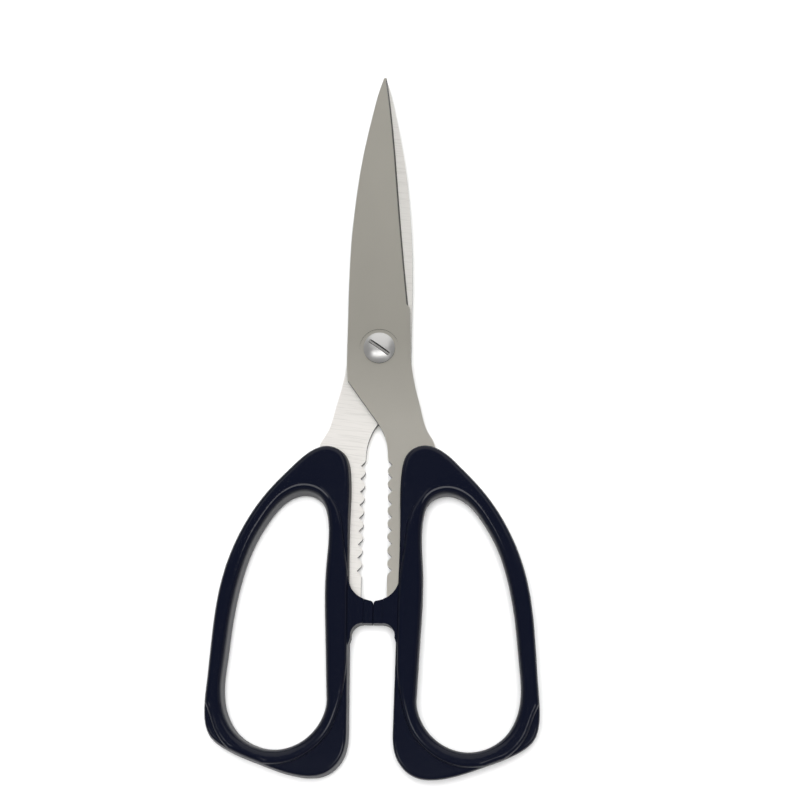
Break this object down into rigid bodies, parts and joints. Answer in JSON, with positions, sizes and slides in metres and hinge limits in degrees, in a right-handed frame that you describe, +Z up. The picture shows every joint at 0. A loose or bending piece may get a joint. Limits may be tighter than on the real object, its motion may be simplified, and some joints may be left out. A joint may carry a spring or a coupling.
{
  "type": "kitchen shears",
  "caption": "Kitchen shears with pointed flat steel blades on a slotted pivot screw, a toothed jaw between the shanks, and moulded plastic loop handles with stop lugs.",
  "frame": {"origin": "bottom centre of the shears' bounding box as they lie flat and closed: on the table, on the long axis, half way between the points and the ends of the handles", "axes": "+X to the right across the handles, +Y along the blades towards their points, +Z up from the table along the pivot's axis"},
  "size_m": [0.0926, 0.2052, 0.009],
  "materials": {
    "blade_steel": "satin stainless steel, brushed lengthwise on the outer faces and ground across on the inner faces",
    "handle_plastic": "glossy moulded plastic, very dark navy",
    "pivot_steel": "polished steel",
    "washer_steel": "plain spring steel"
  },
  "bodies": {
    "rear_half": {"rear_blade": "blade_steel", "left_handle": "handle_plastic", "pivot_screw": "pivot_steel", "spring_washer": "washer_steel", "pivot_nut": "pivot_steel"},
    "front_half": {"front_blade": "blade_steel", "right_handle": "handle_plastic"}
  },
  "joints": [
    {"name": "blade_pivot", "type": "hinge", "parent": "rear_half", "child": "front_half", "pos_m": [0, 0.0191, 0.0045], "axis": [0, 0, 1], "range_deg": [0, 130]}
  ]
}
